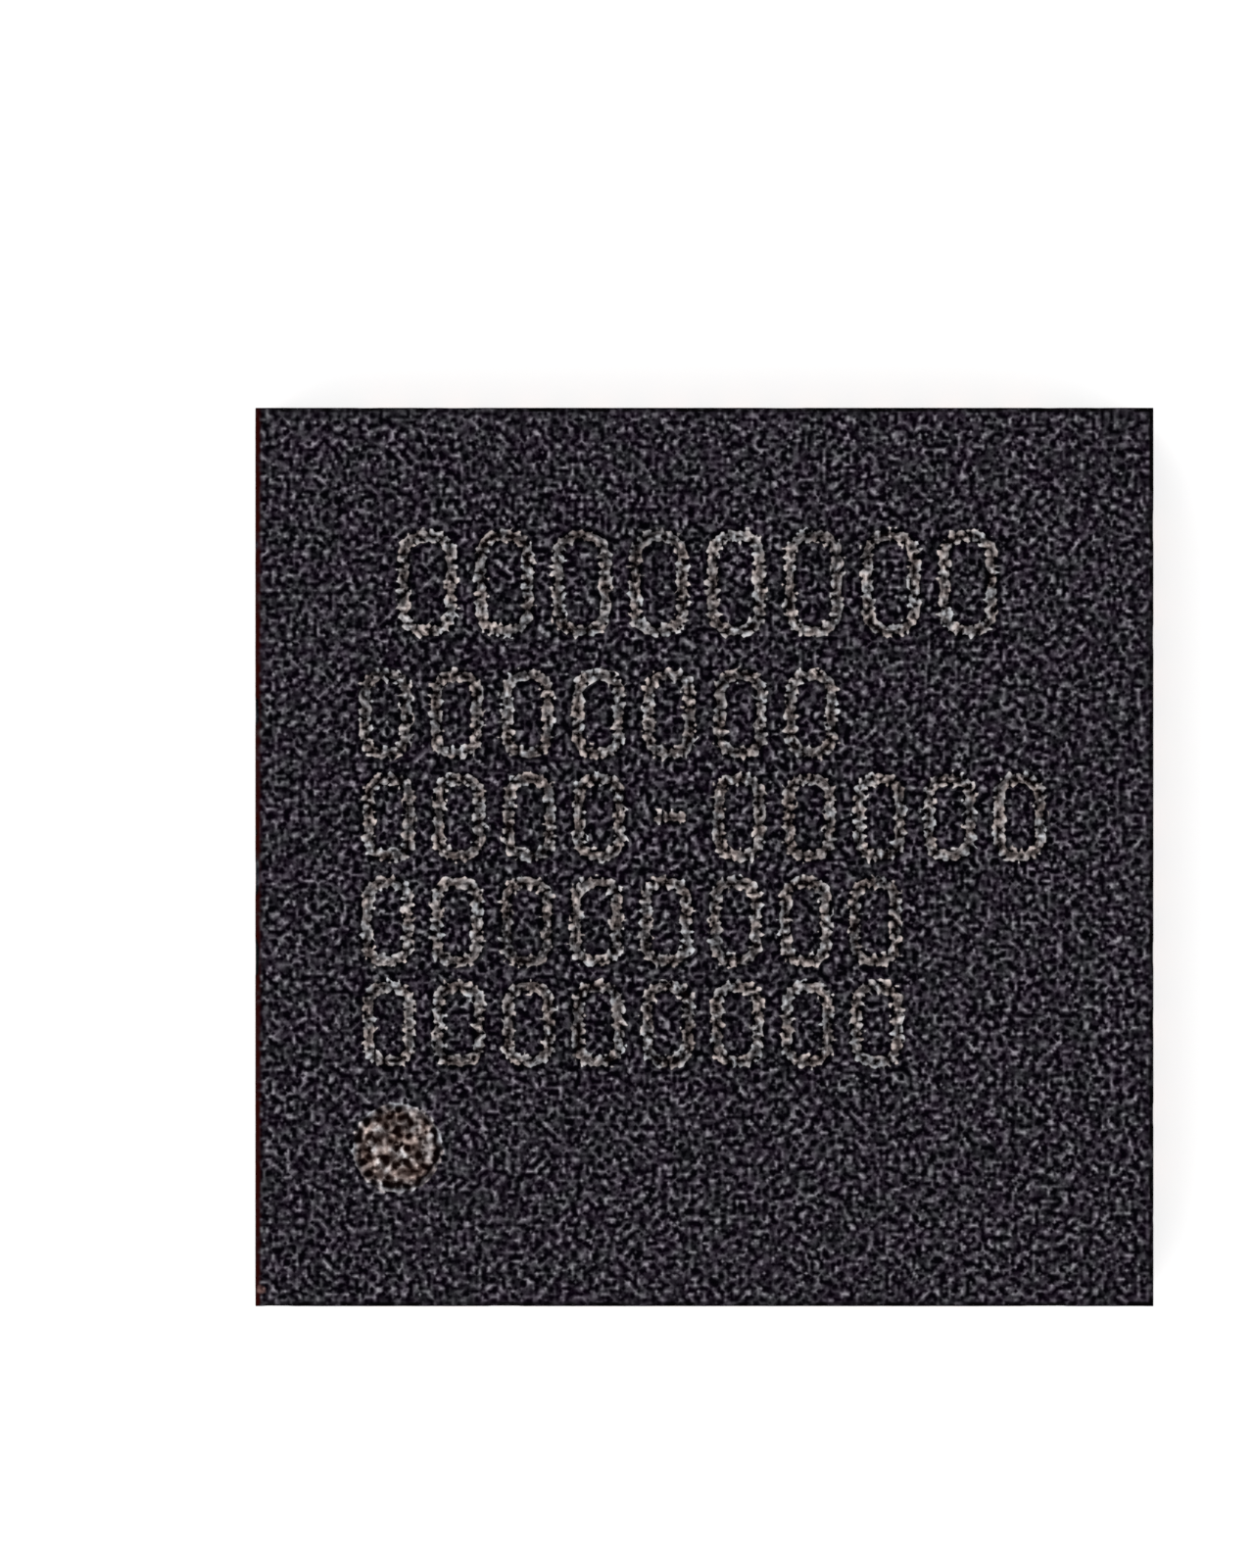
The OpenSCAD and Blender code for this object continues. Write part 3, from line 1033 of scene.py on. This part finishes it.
# Fills the rim's last ring with a dished, crumpled face
def fillDish(work, ring, places, points, shape, seed):
    nearest = insideLine(points, places, 0)[1]
    crumple = 0
    for n, (size, strength) in enumerate(rimShape["crumplePatches"]):
        crumple += strength * unevenness(points[:, 0], points[:, 1], size, seed + 4 + n)
    height = shape["dish"] * np.interp(nearest, rimShape["dishDepth"], rimShape["dishHeight"])
    rise = np.clip((nearest - rimShape["dishDepth"][1]) / rimShape["crumpleRise"], 0, 1)
    height += shape["crumple"] * crumple * rise
    inner = [work.verts.new((a * mm, b * mm, max(h, 0) * mm)) for (a, b), h in zip(points, height)]
    edgeAway = work.verts.layers.float["edgeAway"]
    for vert, way in zip(inner, nearest):
        vert[edgeAway] = min(way, rimShape["wayKept"])
    return fillLine(work, ring, places, inner, points)


# Builds the bare metal again: a rolled rim round a dished, crumpled middle
def metalPiece(nodeName, pieceName, shape, materials, seed):
    work = copyOfNode(nodeName)
    work.verts.layers.float.new("edgeAway")
    opened = openUnderside(work, shape["spacing"] * mm)
    for face in work.faces:
        face.material_index = copperSlot
    line = np.array([(v.co.x, v.co.y) for v in opened]) / mm
    outward = outwardWays(line, shape["cornerEase"])
    rim, ring, places = rollRim(work, opened, line, outward, shape, seed)
    points = dishPoints(places, outward, shape["cell"], seed)
    for face in rim + fillDish(work, ring, places, points, shape, seed):
        face.smooth = True
        face.material_index = tinSlot
    return makePiece(work, pieceName, nodeName, materials, rimShape["sharpAngle"])


def leadFrame():
    copper = sawnCopper(copperLook)
    materials = (tinnedTerminal(terminalTin), copper)
    leads = sorted(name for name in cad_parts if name.startswith("lead_"))
    for number, name in enumerate(leads):
        seed = terminalShape["firstSeed"] + number * terminalShape["seedStep"]
        metalPiece(name, name.replace("lead", "tinned_lead"), terminalShape, materials, seed)
    materials = (tinnedPad(padTin), copper)
    pad = metalPiece("die_pad", "tinned_die_pad", padShape, materials, padShape["seed"])
    print("lead frame made:", len(leads), "leads and a pad of", countTriangles(pad), "triangles")


# Pieces sealed in the compound keep their solids and take a finish. Their colours are light values

siliconLook = {
    "cell": 0.18 * mm,
    "colours": ((0.09, 0.10, 0.14, 1), (0.16, 0.15, 0.22, 1)),  # of the cells' edges, and inside them
    "colourAt": (0.02, 0.08),
    "roughness": (0.35, 0.18),
    "roughAt": (0.0, 0.1),
    "metallic": 0.6,
}

adhesiveLook = {
    "flake": 0.015 * mm,
    "colours": ((0.22, 0.22, 0.21, 1), (0.62, 0.62, 0.60, 1)),
    "roughness": (0.7, 0.45),
    "bump": 1.0 * micron,
    "metallic": 0.3,
}

goldLook = {
    "sheen": 0.02 * mm,
    "colours": ((0.78, 0.50, 0.16, 1), (0.95, 0.70, 0.28, 1)),
    "roughness": (0.32, 0.2),
}


def polishedSilicon(look):
    material, tree, shader = newMaterial("polishedSilicon", metallic=look["metallic"])
    cells = speckNode(tree, objectPlace(tree), look["cell"], "DISTANCE_TO_EDGE")
    colour = twoColours(tree, cells, look["colourAt"], look["colours"])
    dress(tree, shader, colour, fade(tree, cells, *look["roughAt"], *look["roughness"]))
    return material


def silverAdhesive(look):
    material, tree, shader = newMaterial("silverAdhesive", metallic=look["metallic"])
    flakes = grainNode(tree, objectPlace(tree), look["flake"], detail=3.0)
    colour = twoColours(tree, flakes, firmly, look["colours"])
    roughness = fade(tree, flakes, *evenly, *look["roughness"])
    dress(tree, shader, colour, roughness, bumpNode(tree, flakes, look["bump"]))
    return material


def drawnGold(look):
    material, tree, shader = newMaterial("drawnGold", metallic=1.0)
    sheen = grainNode(tree, objectPlace(tree), look["sheen"], detail=2.0)
    colour = twoColours(tree, sheen, evenly, look["colours"])
    dress(tree, shader, colour, fade(tree, sheen, *evenly, *look["roughness"]))
    return material


def sealedPieces():
    finishes = {"die": polishedSilicon(siliconLook), "die_attach": silverAdhesive(adhesiveLook)}
    gold = drawnGold(goldLook)
    for name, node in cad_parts.items():
        finish = gold if "wires" in name else finishes.get(name)
        if finish:
            for slot in node.material_slots:
                slot.material = finish
    print("sealed pieces given their finishes")


# Floor, lights and camera

studio = {
    "floorSide": 0.6,
    "floorColour": (0.93, 0.93, 0.93),
    "floorCloud": 20 * mm,
    "floorPaler": 1.01,  # in the cloud's pale patches
    "floorRoughness": 0.8,
    "floorSpecular": 0.1,
    "floorGlow": 0.46,  # the floor is a lit table
    "worldLight": 0.55,
    # How far round from the front each light stands, how high, both in degrees, and its power
    "lights": {
        "keyLight": (225, 48, 0.012),
        "fillLight": (60, 42, 0.010),
        "sideLight": (320, 45, 0.010),
    },
    "lightSide": 0.05,
    "lightDistance": 0.07,
}

photoView = {
    "pictureWidth": 1280,  # pixels of the photograph
    "pictureHeight": 1600,
    "chipWidth": 917,  # the chip's side in it
    "chipMiddle": (719, 874.5),
    "lens": 150,
    "clipping": (0.1, 100),  # the nearest and farthest that it shows, as shares of its distance
}

white = (1, 1, 1, 1)


def paleFloor():
    material, tree, shader = newMaterial("paleFloor", specular=studio["floorSpecular"])
    cloud = grainNode(tree, objectPlace(tree), studio["floorCloud"], detail=2.0)
    shades = [(*[c * shade for c in studio["floorColour"]], 1) for shade in (1, studio["floorPaler"])]
    dress(tree, shader, twoColours(tree, cloud, evenly, shades))
    shader.inputs["Roughness"].default_value = studio["floorRoughness"]
    shader.inputs["Emission Color"].default_value = white
    shader.inputs["Emission Strength"].default_value = studio["floorGlow"]
    return material


def layFloor():
    side = studio["floorSide"] / 2
    corners = [(-side, -side, 0), (side, -side, 0), (side, side, 0), (-side, side, 0)]
    mesh = bpy.data.meshes.new("floor")
    mesh.from_pydata(corners, [], [(0, 1, 2, 3)])
    mesh.materials.append(paleFloor())
    floor = bpy.data.objects.new("floor", mesh)
    floor.location.z = -micron
    bpy.context.scene.collection.objects.link(floor)


def areaLight(name, turn, lift, power):
    lamp = bpy.data.lights.new(name, "AREA")
    lamp.energy = power
    lamp.size = studio["lightSide"]
    light = bpy.data.objects.new(name, lamp)
    a, e = math.radians(turn), math.radians(lift)
    away = Vector((math.sin(a) * math.cos(e), -math.cos(a) * math.cos(e), math.sin(e)))
    light.location = away * studio["lightDistance"]
    light.rotation_euler = away.to_track_quat("Z", "Y").to_euler()
    bpy.context.scene.collection.objects.link(light)


def buildStudio():
    layFloor()
    for name, settings in studio["lights"].items():
        areaLight(name, *settings)
    world = bpy.data.worlds.new("studio")
    world.use_nodes = True
    back = world.node_tree.nodes["Background"]
    back.inputs["Color"].default_value = white
    back.inputs["Strength"].default_value = studio["worldLight"]
    bpy.context.scene.world = world
    bpy.context.scene.view_settings.view_transform = "Standard"
    print("studio built")


def aimCamera():
    camera = bpy.data.cameras.new("camera")
    camera.lens = photoView["lens"]
    pixel = 2 * halfBody / photoView["chipWidth"]
    seen = pixel * photoView["pictureHeight"]  # the sensor's long side spans the picture's height
    distance = seen * camera.lens / camera.sensor_width
    camera.clip_start, camera.clip_end = [distance * share for share in photoView["clipping"]]
    holder = bpy.data.objects.new("camera", camera)
    right = photoView["chipMiddle"][0] - photoView["pictureWidth"] / 2
    down = photoView["chipMiddle"][1] - photoView["pictureHeight"] / 2
    holder.location = (-right * pixel, down * pixel, topZ + distance)
    bpy.context.scene.collection.objects.link(holder)
    bpy.context.scene.camera = holder
    print("camera set", round(distance / mm, 1), "mm above the chip")


mouldedBody()
leadFrame()
sealedPieces()
buildStudio()
aimCamera()
